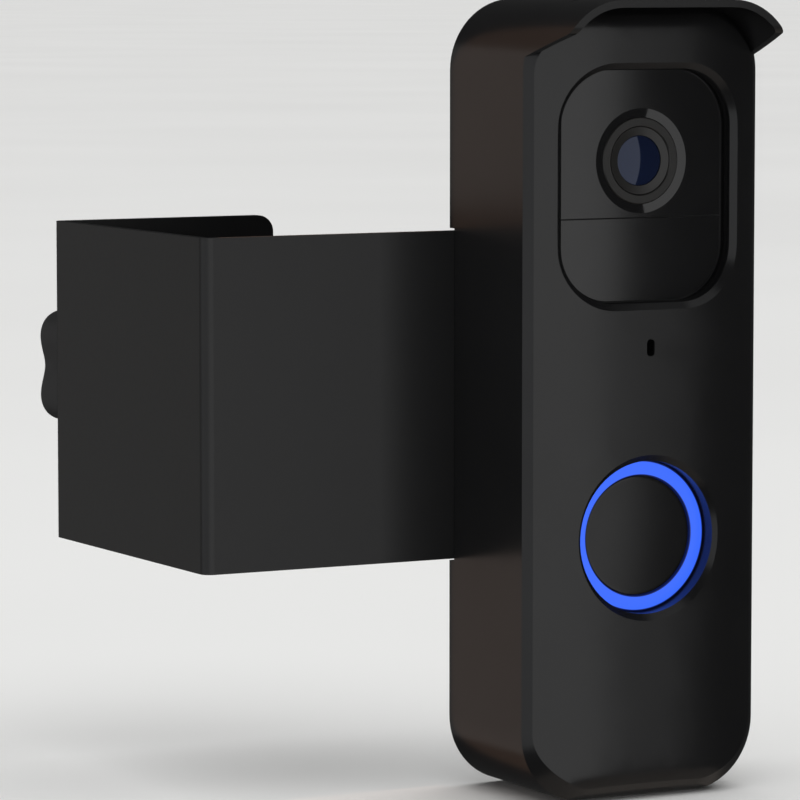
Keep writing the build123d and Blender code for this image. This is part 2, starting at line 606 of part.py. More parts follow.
FRONT_SHELL_DEPTH = JOINT_DEPTH + GASKET_THICKNESS
with BuildPart() as front_housing:
    slab(FRONT_SHELL_DEPTH, UNIT_FRONT_DEPTH - FRONT_SHELL_DEPTH, UNIT_WIDTH, UNIT_HEIGHT, UNIT_CORNER)
    fillet(front_housing.faces().sort_by(Axis.Y)[0].edges(), 1.0)
    slab(
        FRONT_SHELL_DEPTH,
        FRONT_INNER_DEPTH - FRONT_SHELL_DEPTH,
        UNIT_WIDTH - 2 * UNIT_WALL,
        UNIT_HEIGHT - 2 * UNIT_WALL,
        UNIT_CORNER - UNIT_WALL,
        mode=Mode.SUBTRACT,
    )
    slab(
        UNIT_FRONT_DEPTH,
        PLATFORM_DEPTH - UNIT_FRONT_DEPTH,
        PANEL_WIDTH + 1.2,
        PANEL_HEIGHT + 0.3,
        PANEL_CORNER + 0.4,
        [(0, PANEL_Z)],
    )
    boss_length = FRONT_INNER_DEPTH - FRONT_SHELL_DEPTH
    tube(FRONT_SHELL_DEPTH, boss_length, BOSS_RADIUS, SHELL_SCREW_RADIUS, SHELL_SCREWS)
    cut = (FRONT_INNER_DEPTH - 1, 2 * UNIT_WALL)
    disc(*cut, LENS_HOLE_RADIUS, [(0, LENS_Z)], Mode.SUBTRACT)
    slab(*cut, *SENSOR_WINDOW, [(0, SENSOR_Z)], Mode.SUBTRACT)
    disc(*cut, RING_OUTER + FIT, [(0, BUTTON_Z)], Mode.SUBTRACT)
    disc(*cut, SLOT_WIDTH / 2 - FIT, [(0, SLOT_Z)], Mode.SUBTRACT)
    disc(UNIT_FRONT_DEPTH - MESH_THICKNESS - FIT, UNIT_WALL, MESH_RADIUS, [(0, SLOT_Z)], Mode.SUBTRACT)
    with Locations((0, -SPEAKER_DEPTH, -UNIT_HEIGHT / 2)):
        with GridLocations(SOUND_SLOT_PITCH, 0, SOUND_SLOTS, 1):
            Box(SOUND_SLOT_WIDTH, SOUND_SLOT_LENGTH - 3, 4 * UNIT_WALL, mode=Mode.SUBTRACT)
keep(front_housing, "front_housing")

with BuildPart() as housing_screws:
    disc(REAR_SHELL_DEPTH + FIT, SHELL_HEAD_THICKNESS - FIT, SHELL_HEAD_RADIUS, SHELL_SCREWS)
    disc(REAR_SHELL_DEPTH + FIT, SHELL_SCREW_LENGTH, SHELL_SCREW_RADIUS, SHELL_SCREWS)
    slot_length, slot_width, slot_depth = 2.2, 0.5, 0.8
    with BuildSketch(front(REAR_SHELL_DEPTH)) as crosses:
        with Locations(*SHELL_SCREWS):
            Rectangle(slot_length, slot_width)
            Rectangle(slot_width, slot_length)
    extrude(crosses.sketch, amount=slot_depth, mode=Mode.SUBTRACT)
keep(housing_screws, "housing_screws")


# ---------------------------------------------------------------- doorbell: window panels and lens
def panel_outline():
    """Outline of the two window panels together, at the platform they are glued to."""
    with BuildSketch(front(PLATFORM_DEPTH)) as outline:
        with Locations((0, PANEL_Z)):
            RectangleRounded(PANEL_WIDTH, PANEL_HEIGHT, PANEL_CORNER)
    return outline.sketch


with BuildPart() as camera_panel:
    extrude(panel_outline(), amount=PANEL_THICKNESS)
    split(bisect_by=Plane.XY.offset(PANEL_SPLIT_Z + PANEL_GAP / 2), keep=Keep.TOP)
    disc(PLATFORM_DEPTH, PANEL_THICKNESS, BEZEL_RADIUS + TIGHT_FIT, [(0, LENS_Z)], Mode.SUBTRACT)
    dish_start = PLATFORM_DEPTH + PANEL_THICKNESS - DISH_DEEP
    with BuildSketch(front(dish_start)) as dish:
        with Locations((0, LENS_Z)):
            Circle(BEZEL_RADIUS + TIGHT_FIT)
    extrude(dish.sketch, amount=1, taper=-DISH_ANGLE, mode=Mode.SUBTRACT)
keep(camera_panel, "camera_panel")

with BuildPart() as sensor_panel:
    extrude(panel_outline(), amount=PANEL_THICKNESS)
    split(bisect_by=Plane.XY.offset(PANEL_SPLIT_Z - PANEL_GAP / 2), keep=Keep.BOTTOM)
keep(sensor_panel, "sensor_panel")


def turned(name, points):
    """A piece turned about the lens axis from (radius, depth) points."""
    with BuildPart() as piece:
        with BuildSketch(Plane.XY.offset(LENS_Z)):
            with BuildLine():
                Polyline(*[(radius, -depth) for radius, depth in points], close=True)
            make_face()
        revolve(axis=Axis((0, 0, LENS_Z), (0, 1, 0)))
    keep(piece, name)


BEZEL_BACK_DEPTH, BEZEL_BORE, BEZEL_EDGE = 22.6, 5.7, 0.15
turned(
    "lens_bezel",
    [
        (BEZEL_BORE, BEZEL_BACK_DEPTH),
        (LENS_HOLE_RADIUS - 2 * FIT, BEZEL_BACK_DEPTH),
        (LENS_HOLE_RADIUS - 2 * FIT, PLATFORM_DEPTH - TIGHT_FIT),
        (BEZEL_RADIUS, PLATFORM_DEPTH - TIGHT_FIT),
        (BEZEL_RADIUS, BEZEL_DEPTH - BEZEL_EDGE),
        (BEZEL_RADIUS - BEZEL_EDGE, BEZEL_DEPTH),
        (BEZEL_BORE + BEZEL_EDGE, BEZEL_DEPTH),
        (BEZEL_BORE, BEZEL_DEPTH - BEZEL_EDGE),
    ],
)
GLASS_FRONT_DEPTH, GLASS_STEP_DEPTH, GLASS_BACK_DEPTH = 24.7, 23.85, 23.2
GLASS_RADIUS, GLASS_FACE_RADIUS, GLASS_RISE = 4.85, 4.15, 0.55
turned(
    "lens_retainer",
    [
        (GLASS_RADIUS + TIGHT_FIT, GLASS_BACK_DEPTH - 2 * FIT),
        (BEZEL_BORE - FIT, GLASS_BACK_DEPTH - 2 * FIT),
        (BEZEL_BORE - FIT, GLASS_FRONT_DEPTH - 2 * FIT),
        (GLASS_FACE_RADIUS + TIGHT_FIT, GLASS_FRONT_DEPTH - 4 * FIT),
        (GLASS_FACE_RADIUS + TIGHT_FIT, GLASS_STEP_DEPTH + TIGHT_FIT),
        (GLASS_RADIUS + TIGHT_FIT, GLASS_STEP_DEPTH + TIGHT_FIT),
    ],
)
REAR_ELEMENT_RADIUS, REAR_ELEMENT_RISE = 3.9, 0.95
REAR_ELEMENT_BACK_DEPTH, REAR_ELEMENT_FRONT_DEPTH = 20.1, 21.85
BARREL_BACK_DEPTH, BARREL_STEP_DEPTH, BARREL_FRONT_DEPTH = 16.0, 19.0, 22.9
HOLDER_BORE = 5.0
turned(
    "lens_barrel",
    [
        (BARREL_BORE, BARREL_BACK_DEPTH),
        (HOLDER_BORE, BARREL_BACK_DEPTH),
        (HOLDER_BORE, BARREL_STEP_DEPTH),
        (BARREL_RADIUS, BARREL_STEP_DEPTH),
        (BARREL_RADIUS, BARREL_FRONT_DEPTH),
        (REAR_ELEMENT_RADIUS + FIT, BARREL_FRONT_DEPTH),
        (REAR_ELEMENT_RADIUS + FIT, REAR_ELEMENT_BACK_DEPTH - FIT),
        (BARREL_BORE, REAR_ELEMENT_BACK_DEPTH - FIT),
    ],
)

with BuildPart() as lens_glass:
    with BuildSketch(Plane.XY.offset(LENS_Z)):
        with BuildLine():
            glass_rim = (GLASS_FACE_RADIUS, GLASS_RISE - GLASS_FRONT_DEPTH)
            Polyline(
                (0, -GLASS_FRONT_DEPTH),
                (0, -GLASS_BACK_DEPTH),
                (GLASS_RADIUS, -GLASS_BACK_DEPTH),
                (GLASS_RADIUS, -GLASS_STEP_DEPTH),
                (GLASS_FACE_RADIUS, -GLASS_STEP_DEPTH),
                glass_rim,
            )
            RadiusArc(glass_rim, (0, -GLASS_FRONT_DEPTH), dome_radius(GLASS_FACE_RADIUS, GLASS_RISE))
        make_face()
    revolve(axis=Axis((0, 0, LENS_Z), (0, 1, 0)))
keep(lens_glass, "lens_glass")

with BuildPart() as lens_rear_element:
    with BuildSketch(Plane.XY.offset(LENS_Z)):
        with BuildLine():
            element_rim = (REAR_ELEMENT_RADIUS, REAR_ELEMENT_RISE - REAR_ELEMENT_FRONT_DEPTH)
            Polyline(
                (0, -REAR_ELEMENT_FRONT_DEPTH),
                (0, -REAR_ELEMENT_BACK_DEPTH),
                (REAR_ELEMENT_RADIUS, -REAR_ELEMENT_BACK_DEPTH),
                element_rim,
            )
            element_sphere = dome_radius(REAR_ELEMENT_RADIUS, REAR_ELEMENT_RISE)
            RadiusArc(element_rim, (0, -REAR_ELEMENT_FRONT_DEPTH), element_sphere)
        make_face()
    revolve(axis=Axis((0, 0, LENS_Z), (0, 1, 0)))
keep(lens_rear_element, "lens_rear_element")

CAMERA_BOARD_FRONT = CAMERA_BOARD_DEPTH + CAMERA_BOARD_THICKNESS
HOLDER_WIDTH, HOLDER_THICKNESS, SENSOR_ROOM = 15.0, 5.0, (9.0, 9.0)
with BuildPart() as lens_holder:
    slab(CAMERA_BOARD_FRONT, HOLDER_THICKNESS, HOLDER_WIDTH, HOLDER_WIDTH, 1, [(0, LENS_Z)])
    slab(CAMERA_BOARD_FRONT, 1.5, *SENSOR_ROOM, centres=[(0, LENS_Z)], mode=Mode.SUBTRACT)
    disc(CAMERA_BOARD_FRONT, HOLDER_THICKNESS, HOLDER_BORE, [(0, LENS_Z)], Mode.SUBTRACT)
keep(lens_holder, "lens_holder")

with BuildPart() as camera_board:
    slab(CAMERA_BOARD_DEPTH, CAMERA_BOARD_THICKNESS, 24, 21, 1, [(0, LENS_Z)])
keep(camera_board, "camera_board")

with BuildPart() as image_sensor:
    slab(CAMERA_BOARD_FRONT, 0.8, 6.5, 5.5, centres=[(0, LENS_Z)])
keep(image_sensor, "image_sensor")

with BuildPart() as camera_flex:
    with BuildSketch(Plane.YZ.offset(-FLEX_WIDTH / 2)):
        with BuildLine():
            inner_z = TRAY_HEIGHT / 2 + CELL_Z + 0.9
            outer_z = inner_z + FLEX_THICKNESS
            back_y, front_y = -CAMERA_BOARD_FRONT, -BOARD_FRONT
            start, end = (back_y, FLEX_START_Z), (front_y, FLEX_END_Z)
            outer_start = (back_y - FLEX_THICKNESS, FLEX_START_Z)
            outer_end = (front_y - FLEX_THICKNESS, FLEX_END_Z)
            bend = 2 * FLEX_THICKNESS
            FilletPolyline(start, (back_y, inner_z), (front_y, inner_z), end, radius=bend)
            outer_bends = [(outer_start[0], outer_z), (outer_end[0], outer_z)]
            FilletPolyline(outer_start, *outer_bends, outer_end, radius=bend)
            Line(start, outer_start)
            Line(end, outer_end)
        make_face()
    extrude(amount=FLEX_WIDTH)
keep(camera_flex, "camera_flex")


# ---------------------------------------------------------------- doorbell: boards and small electronics
with BuildPart() as main_board:
    slab(BOARD_DEPTH, BOARD_THICKNESS, 36, 66, 1.5, [(0, -6)])
keep(main_board, "main_board")

with BuildPart() as motion_sensor:
    can_height, lens_height = 1.2, 1.0
    slab(BOARD_FRONT, can_height, 8, 6, 0.5, [(0, SENSOR_Z)])
    slab(BOARD_FRONT + can_height, lens_height, 6, 4, 1.5, [(0, SENSOR_Z)])
keep(motion_sensor, "motion_sensor")

with BuildPart() as infrared_leds:
    led_places = [(-INFRARED_X, SENSOR_Z), (INFRARED_X, SENSOR_Z)]
    led_base, led_dome = 0.8, 0.9
    slab(BOARD_FRONT, led_base, 3.5, 3.5, 0.3, led_places)
    disc(BOARD_FRONT + led_base, led_dome, 1.3, led_places)
keep(infrared_leds, "infrared_leds")

with BuildPart() as microphone:
    height, port_depth, port_radius = 1.0, 0.3, 0.35
    slab(BOARD_FRONT, height, 3.5, 2.65, 0.3, [(0, SLOT_Z)])
    disc(BOARD_FRONT + height - port_depth, 1, port_radius, [(0, SLOT_Z)], Mode.SUBTRACT)
keep(microphone, "microphone")

with BuildPart() as microphone_mesh:
    disc(UNIT_FRONT_DEPTH - MESH_THICKNESS - FIT, MESH_THICKNESS, MESH_RADIUS - TIGHT_FIT, [(0, SLOT_Z)])
keep(microphone_mesh, "microphone_mesh")

with BuildPart() as antenna:
    sheet, leg_length, antenna_z, leg_z = 0.4, 2.4, 59.0, 57.2
    slab(FRONT_INNER_DEPTH - sheet, sheet, 24, 4, 0.5, [(0, antenna_z)])
    legs = [(-9, leg_z), (-5, leg_z)]
    slab(FRONT_INNER_DEPTH - leg_length, leg_length, 1.5, sheet, centres=legs)
keep(antenna, "antenna")

speaker_top = Plane((0, -SPEAKER_DEPTH, -UNIT_HEIGHT / 2 + UNIT_WALL))
with BuildPart() as speaker_gasket:
    with BuildSketch(speaker_top):
        Circle(SPEAKER_RADIUS)
        Circle(SPEAKER_RADIUS - 1.2, mode=Mode.SUBTRACT)
    extrude(amount=SPEAKER_SEAL)
keep(speaker_gasket, "speaker_gasket")

with BuildPart() as speaker:
    with BuildSketch(speaker_top.offset(SPEAKER_SEAL)):
        Circle(SPEAKER_RADIUS)
    extrude(amount=SPEAKER_BASKET)
    with BuildSketch(speaker_top.offset(SPEAKER_SEAL + SPEAKER_BASKET)):
        Circle(SPEAKER_RADIUS - 2)
    extrude(amount=SPEAKER_MAGNET)
keep(speaker, "speaker")

with BuildPart() as ring_leds:
    with BuildSketch(front(BOARD_FRONT)):
        with Locations((0, BUTTON_Z)):
            with PolarLocations(RING_LED_REACH, RING_LED_COUNT):
                Rectangle(*RING_LED_SIZE)
    extrude(amount=RING_LED_HEIGHT)
keep(ring_leds, "ring_leds")


# ---------------------------------------------------------------- doorbell: front button
with BuildPart() as light_ring:
    flange_front = RING_BACK_DEPTH + RING_FLANGE_THICKNESS
    tube(flange_front, RING_FACE_DEPTH - flange_front, RING_OUTER, RING_INNER, [(0, BUTTON_Z)])
    tube(RING_BACK_DEPTH, RING_FLANGE_THICKNESS, RING_FLANGE, RING_INNER, [(0, BUTTON_Z)])
    cap_room = CAP_BACK_DEPTH + CAP_FLANGE_THICKNESS + TIGHT_FIT - RING_BACK_DEPTH
    disc(RING_BACK_DEPTH, cap_room, CAP_FLANGE_RADIUS + 2.5 * FIT, [(0, BUTTON_Z)], Mode.SUBTRACT)
    fillet(light_ring.faces().sort_by(Axis.Y)[0].edges(), RING_EDGE)
keep(light_ring, "light_ring")

with BuildPart() as button_cap:
    disc(CAP_BACK_DEPTH, CAP_FLANGE_THICKNESS, CAP_FLANGE_RADIUS, [(0, BUTTON_Z)])
    with BuildSketch(Plane.XY.offset(BUTTON_Z)) as crown_half:
        with BuildLine():
            flange_lap = CAP_FLANGE_THICKNESS - 2 * FIT
            rim_depth = RING_FACE_DEPTH - CAP_CROWN
            Polyline(
                (0, -RING_FACE_DEPTH),
                (0, -CAP_BACK_DEPTH - flange_lap),
                (CAP_RADIUS, -CAP_BACK_DEPTH - flange_lap),
                (CAP_RADIUS, -rim_depth),
            )
            RadiusArc((CAP_RADIUS, -rim_depth), (0, -RING_FACE_DEPTH), dome_radius(CAP_RADIUS, CAP_CROWN))
        make_face()
    revolve(crown_half.sketch, axis=Axis((0, 0, BUTTON_Z), (0, 1, 0)))
    recess_radius, hub_radius = 8.5, 2.5
    disc(CAP_BACK_DEPTH, CAP_FLANGE_THICKNESS - FIT, recess_radius, [(0, BUTTON_Z)], Mode.SUBTRACT)
    disc(CAP_BACK_DEPTH, CAP_FLANGE_THICKNESS, hub_radius, [(0, BUTTON_Z)])
keep(button_cap, "button_cap")

with BuildPart() as button_switch:
    slab(BOARD_FRONT, SWITCH_HEIGHT, SWITCH_WIDTH, SWITCH_WIDTH, 0.5, [(0, BUTTON_Z)])
    disc(BOARD_FRONT, SWITCH_HEIGHT, PLUNGER_RADIUS + TIGHT_FIT, [(0, BUTTON_Z)], Mode.SUBTRACT)
keep(button_switch, "button_switch")

with BuildPart() as switch_plunger:
    plunger_depth = BOARD_FRONT + TIGHT_FIT + BUTTON_TRAVEL
    disc(plunger_depth, CAP_BACK_DEPTH - plunger_depth, PLUNGER_RADIUS, [(0, BUTTON_Z)])
keep(switch_plunger, "switch_plunger")


# ---------------------------------------------------------------- doorbell: battery compartment and wiring
with BuildPart() as battery_tray:
    tray_depth = BOARD_DEPTH - REAR_SHELL_DEPTH - 3 * FIT
    slab(REAR_SHELL_DEPTH + FIT, tray_depth, TRAY_WIDTH, TRAY_HEIGHT, 1, [(0, CELL_Z)])
    slab(
        REAR_SHELL_DEPTH,
        CELL_DEPTH + CELL_RADIUS + TIGHT_FIT - REAR_SHELL_DEPTH,
        TRAY_WIDTH - 2 * TRAY_WALL,
        TRAY_HEIGHT - 2 * TRAY_WALL,
        0.5,
        [(0, CELL_Z)],
        Mode.SUBTRACT,
    )
    divider_depth, divider_height, divider_thickness = 14.0, 6.0, 0.4
    divider = (divider_thickness, TRAY_HEIGHT - 5 * TRAY_WALL)
    slab(divider_depth, divider_height, *divider, centres=[(0, CELL_Z)])
keep(battery_tray, "battery_tray")


def battery_cell(name, x, up):
    """A cell standing in the tray with its positive end up (1) or down (-1)."""
    body_length = CELL_LENGTH - CELL_NUB_LENGTH
    foot = Plane((x, -CELL_DEPTH, CELL_Z - up * CELL_LENGTH / 2), z_dir=(0, 0, up))
    with BuildPart() as cell:
        with BuildSketch(foot) as can:
            Circle(CELL_RADIUS)
        extrude(can.sketch, amount=body_length)
        fillet(cell.edges().filter_by(GeomType.CIRCLE), CELL_EDGE)
        with BuildSketch(foot.offset(body_length)) as nub:
            Circle(CELL_NUB_RADIUS)
        extrude(nub.sketch, amount=CELL_NUB_LENGTH)
    keep(cell, name)


battery_cell("battery_left", -CELL_X, 1)
battery_cell("battery_right", CELL_X, -1)

TRAY_END = TRAY_HEIGHT / 2 - TRAY_WALL
CONTACT_GAP = TRAY_END - CELL_LENGTH / 2
with BuildPart() as battery_contacts:
    for x, up in ((-CELL_X, 1), (CELL_X, -1)):
        with BuildSketch(Plane((x, -CELL_DEPTH, CELL_Z + up * TRAY_END), z_dir=(0, 0, -up))) as plate:
            RectangleRounded(*CONTACT_PLATE)
        extrude(plate.sketch, amount=CONTACT_SHEET)
        with BuildSketch(Plane((x, -CELL_DEPTH, CELL_Z + up * TRAY_END), z_dir=(0, 0, -up))) as dimple:
            Circle(CONTACT_DIMPLE_RADIUS)
        extrude(dimple.sketch, amount=CONTACT_GAP)
keep(battery_contacts, "battery_contacts")

with BuildPart() as battery_springs:
    for x, up in ((-CELL_X, -1), (CELL_X, 1)):
        with BuildSketch(Plane.YZ.offset(x - SPRING_WIDTH / 2)) as leaf:
            with BuildLine():
                wall = CELL_Z + up * TRAY_END
                cell_end = CELL_Z + up * CELL_LENGTH / 2
                sheet = up * SPRING_SHEET
                Polyline(
                    (-CELL_DEPTH - SPRING_REACH, wall),
                    (-CELL_DEPTH + SPRING_REACH, wall),
                    (-CELL_DEPTH + SPRING_REACH, wall - sheet),
                    (-CELL_DEPTH - 3.6, wall - sheet),
                    (-CELL_DEPTH + 1.6, cell_end + sheet),
                    (-CELL_DEPTH + 3.6, cell_end + sheet),
                    (-CELL_DEPTH + 3.6, cell_end),
                    (-CELL_DEPTH + 1.0, cell_end),
                    (-CELL_DEPTH - SPRING_REACH, wall - 2 * sheet),
                    close=True,
                )
            make_face()
        extrude(leaf.sketch, amount=SPRING_WIDTH)
keep(battery_springs, "battery_springs")

TERMINAL_SEAT = REAR_SHELL_DEPTH + PLATE_THICKNESS
with BuildPart() as terminal_block:
    slab(TERMINAL_SEAT, TERMINAL_BLOCK_HEIGHT, 20, 8, 0.8, [(0, TERMINAL_Z)])
    disc(TERMINAL_SEAT, TERMINAL_SCREW_LENGTH + 0.5, TERMINAL_SCREW_RADIUS, TERMINALS, Mode.SUBTRACT)
keep(terminal_block, "terminal_block")

with BuildPart() as terminal_screws:
    head_depth, slot_depth, slot_width = REAR_SHELL_DEPTH + 2 * FIT, 0.8, 0.7
    disc(head_depth, TERMINAL_SEAT - head_depth, TERMINAL_HEAD_RADIUS, TERMINALS)
    disc(TERMINAL_SEAT, TERMINAL_SCREW_LENGTH, TERMINAL_SCREW_RADIUS, TERMINALS)
    slot = (2 * TERMINAL_HEAD_RADIUS + 1, slot_width)
    slab(REAR_SHELL_DEPTH, slot_depth, *slot, centres=TERMINALS, mode=Mode.SUBTRACT)
keep(terminal_screws, "terminal_screws")

with BuildPart() as sync_button:
    sync_depth = REAR_SHELL_DEPTH + 3 * FIT
    disc(sync_depth, SYNC_LENGTH, SYNC_RADIUS, [(0, SYNC_Z)])
    disc(TERMINAL_SEAT + FIT, SYNC_COLLAR, SYNC_RADIUS + SYNC_COLLAR, [(0, SYNC_Z)])
keep(sync_button, "sync_button")

SYNC_SWITCH_DEPTH = sync_depth + SYNC_LENGTH + SYNC_TRAVEL + TIGHT_FIT
with BuildPart() as sync_switch:
    slab(SYNC_SWITCH_DEPTH, SYNC_SWITCH_HEIGHT, 4, 3, 0.3, [(0, SYNC_Z)])
keep(sync_switch, "sync_switch")

with BuildPart() as rear_board:
    slab(SYNC_SWITCH_DEPTH + SYNC_SWITCH_HEIGHT, BOARD_THICKNESS, 30, 9, 0.8, [(0, SYNC_Z)])
keep(rear_board, "rear_board")

print(len(pieces), "pieces")
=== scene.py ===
"""Looks, light and camera for the video doorbell in its hooded case on a door bracket."""
import math

import bmesh
import bpy
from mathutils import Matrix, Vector


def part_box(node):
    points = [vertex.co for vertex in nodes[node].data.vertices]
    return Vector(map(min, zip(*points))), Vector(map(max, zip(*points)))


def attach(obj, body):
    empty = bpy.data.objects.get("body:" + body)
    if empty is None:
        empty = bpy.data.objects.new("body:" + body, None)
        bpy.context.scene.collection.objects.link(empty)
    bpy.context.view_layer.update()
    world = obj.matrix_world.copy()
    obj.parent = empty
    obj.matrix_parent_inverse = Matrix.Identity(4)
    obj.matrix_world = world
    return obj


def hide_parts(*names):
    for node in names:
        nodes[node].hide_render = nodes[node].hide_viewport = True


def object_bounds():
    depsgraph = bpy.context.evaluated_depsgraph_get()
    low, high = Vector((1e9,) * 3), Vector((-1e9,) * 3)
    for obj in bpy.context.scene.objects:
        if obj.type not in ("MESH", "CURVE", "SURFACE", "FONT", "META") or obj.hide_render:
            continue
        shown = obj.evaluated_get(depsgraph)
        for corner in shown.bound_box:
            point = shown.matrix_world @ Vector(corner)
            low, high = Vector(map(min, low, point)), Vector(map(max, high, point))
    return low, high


MM = 0.001

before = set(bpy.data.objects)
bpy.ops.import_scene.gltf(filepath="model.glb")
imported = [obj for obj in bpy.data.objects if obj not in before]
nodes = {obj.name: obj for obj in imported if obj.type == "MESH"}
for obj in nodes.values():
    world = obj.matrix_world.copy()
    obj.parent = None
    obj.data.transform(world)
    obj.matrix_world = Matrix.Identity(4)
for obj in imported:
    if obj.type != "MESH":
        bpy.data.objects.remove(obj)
cad_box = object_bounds()
scene = bpy.context.scene


# ---------------------------------------------------------------- materials


class Finish:
    """A Principled material whose colour, roughness and bump come from patterns in object space."""

    def __init__(self, name, colour, roughness, **sockets):
        self.material = bpy.data.materials.new(name)
        self.material.use_nodes = True
        self.tree = self.material.node_tree
        self.shader = self.tree.nodes["Principled BSDF"]
        self.shader.inputs["Base Color"].default_value = (*colour, 1)
        self.shader.inputs["Roughness"].default_value = roughness
        self.place = self.add("ShaderNodeTexCoord").outputs["Object"]
        self.last_bump = None
        for socket, value in sockets.items():
            self.shader.inputs[socket.replace("_", " ")].default_value = value

    def add(self, kind, **settings):
        node = self.tree.nodes.new(kind)
        for setting, value in settings.items():
            setattr(node, setting, value)
        return node

    def stretched(self, scale):
        """Object coordinates scaled by a different amount along each axis."""
        mapping = self.add("ShaderNodeMapping")
        mapping.inputs["Scale"].default_value = scale
        self.tree.links.new(self.place, mapping.inputs["Vector"])
        return mapping.outputs["Vector"]

    def noise(self, size, detail=2.0, vector=None):
        """Soft noise whose features are about size metres across."""
        node = self.add("ShaderNodeTexNoise")
        node.inputs["Scale"].default_value = 1 / size
        node.inputs["Detail"].default_value = detail
        self.tree.links.new(vector or self.place, node.inputs["Vector"])
        return node.outputs["Fac"]

    def blend(self, factor, low, high, start=0.3, end=0.7):
        """Values or colours from low to high as factor goes from start to end."""
        if isinstance(low, tuple):
            ramp = self.add("ShaderNodeValToRGB")
            stops = ramp.color_ramp.elements
            stops[0].position, stops[0].color = start, (*low, 1)
            stops[1].position, stops[1].color = end, (*high, 1)
            self.tree.links.new(factor, ramp.inputs["Fac"])
            return ramp.outputs["Color"]
        spread = self.add("ShaderNodeMapRange")
        limits = {"From Min": start, "From Max": end, "To Min": low, "To Max": high}
        for socket, value in limits.items():
            spread.inputs[socket].default_value = value
        self.tree.links.new(factor, spread.inputs["Value"])
        return spread.outputs["Result"]

    def drive(self, socket, value):
        self.tree.links.new(value, self.shader.inputs[socket])

    def bump(self, height, depth):
        """Relief of that depth in metres on top of any earlier one."""
        node = self.add("ShaderNodeBump")
        node.inputs["Distance"].default_value = depth
        node.inputs["Strength"].default_value = 1.0
        self.tree.links.new(height, node.inputs["Height"])
        if self.last_bump:
            self.tree.links.new(self.last_bump, node.inputs["Normal"])
        self.last_bump = node.outputs["Normal"]
        self.drive("Normal", self.last_bump)


def moulded(name, colour, roughness, grain=0.12 * MM, relief=0.002 * MM, **sockets):
    """Moulded plastic: a fine even grain, with colour and gloss that wander a little."""
    finish = Finish(name, colour, roughness, **sockets)
    cloud = finish.noise(14 * MM, 3)
    lighter = tuple(min(1, c * 1.12) for c in colour)
    darker = tuple(c * 0.9 for c in colour)
    finish.drive("Base Color", finish.blend(cloud, darker, lighter))
    finish.drive("Roughness", finish.blend(finish.noise(6 * MM, 4), roughness * 0.94, roughness * 1.06))
    finish.bump(finish.noise(grain, 2), relief)
    return finish.material


def powder_coat(name, colour, roughness):
    """Satin powder coat: a faint orange peel over fine grain."""
    finish = Finish(name, colour, roughness)
    finish.drive("Base Color", finish.blend(finish.noise(9 * MM, 3), tuple(c * 0.92 for c in colour), colour))
    finish.drive("Roughness", finish.blend(finish.noise(0.8 * MM, 2), roughness * 0.95, roughness * 1.05))
    finish.bump(finish.noise(1.3 * MM, 1), 0.004 * MM)
    finish.bump(finish.noise(0.16 * MM, 2), 0.0015 * MM)
    return finish.material


def metal(name, colour, roughness, streak=(1, 1, 1)):
    """Plated metal with faint drawn or turned streaks along the axis whose factor is small."""
    finish = Finish(name, colour, roughness, Metallic=1.0)
    lines = finish.noise(0.25 * MM, 3, vector=finish.stretched(streak))
    finish.drive("Base Color", finish.blend(lines, tuple(c * 0.85 for c in colour), colour))
    finish.drive("Roughness", finish.blend(lines, roughness * 0.8, roughness * 1.25))
    finish.bump(lines, 0.003 * MM)
    return finish.material


def paint(material, *names):
    """That material on those CAD nodes."""
    for name in names:
        slots = nodes[name].data.materials
        slots.clear()
        slots.append(material)


def turned(name, profile, centre, body, stands_for, segments=128):
    """Piece turned about the line along Y through centre (x, z), in place of that CAD node.

    profile is (radius, y) pairs that start and end at radius 0; a radius may be a function of the angle.
    """
    mesh = bmesh.new()
    rings = []
    for radius, y in profile:
        if radius == 0:
            rings.append([mesh.verts.new((centre[0], y, centre[1]))])
            continue
        ring = []
        for i in range(segments):
            angle = math.tau * i / segments
            reach = radius(angle) if callable(radius) else radius
            x, z = centre[0] + reach * math.cos(angle), centre[1] + reach * math.sin(angle)
            ring.append(mesh.verts.new((x, y, z)))
        rings.append(ring)
    for near, far in zip(rings, rings[1:]):
        for i in range(segments):
            after = (i + 1) % segments
            corners = [near[i % len(near)], near[after % len(near)], far[after % len(far)], far[i % len(far)]]
            mesh.faces.new(dict.fromkeys(corners))
    bmesh.ops.recalc_face_normals(mesh, faces=mesh.faces)
    data = bpy.data.meshes.new(name)
    mesh.to_mesh(data)
    mesh.free()
    data.shade_smooth()
    data.set_sharp_from_angle(angle=math.radians(35))
    data.materials.append(nodes[stands_for].data.materials[0])
    piece = bpy.data.objects.new(name, data)
    scene.collection.objects.link(piece)
    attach(piece, body)
    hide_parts(stands_for)


def dome(radius, rim_y, rise, steps=24):
    """Profile points of a shallow dome, from its rim to its top in front of the rim."""
    sphere = (radius**2 + rise**2) / (2 * rise)
    reaches = [radius * (1 - i / steps) for i in range(steps + 1)]
    return [(reach, rim_y - math.sqrt(sphere**2 - reach**2) + sphere - rise) for reach in reaches]


